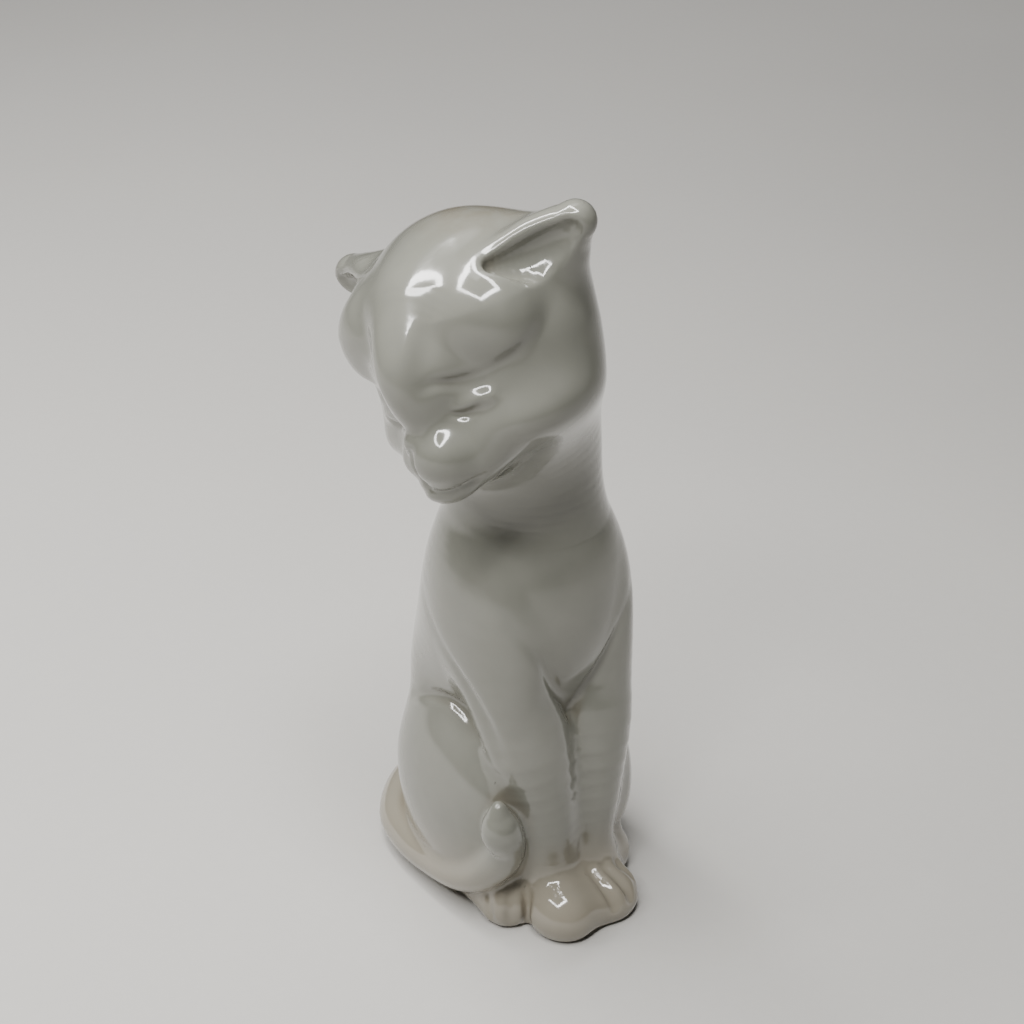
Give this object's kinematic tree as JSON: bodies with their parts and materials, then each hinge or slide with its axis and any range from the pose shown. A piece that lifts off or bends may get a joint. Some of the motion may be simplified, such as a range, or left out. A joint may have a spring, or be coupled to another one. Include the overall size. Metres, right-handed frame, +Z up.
{
  "type": "ceramic cat figurine",
  "caption": "Glossy glazed ceramic figurine of a sitting cat with closed eyes, head turned and tilted, tail curled round its side.",
  "frame": {"origin": "on the flat foot under the body, on the surface the figure stands on", "axes": "+Z up, the cat's body faces -Y, its head is turned towards -X, which is its right side"},
  "size_m": [0.0663, 0.0735, 0.1757],
  "materials": {
    "glaze": "glossy grey-white glaze over pale clay, cream and tan where it pools"
  },
  "bodies": {
    "root": {"body_shell": "glaze", "head_shell": "glaze", "left_ear": "glaze", "right_ear": "glaze", "left_foreleg": "glaze", "right_foreleg": "glaze", "left_hind_paw": "glaze", "right_hind_paw": "glaze", "tail": "glaze"}
  },
  "joints": []
}
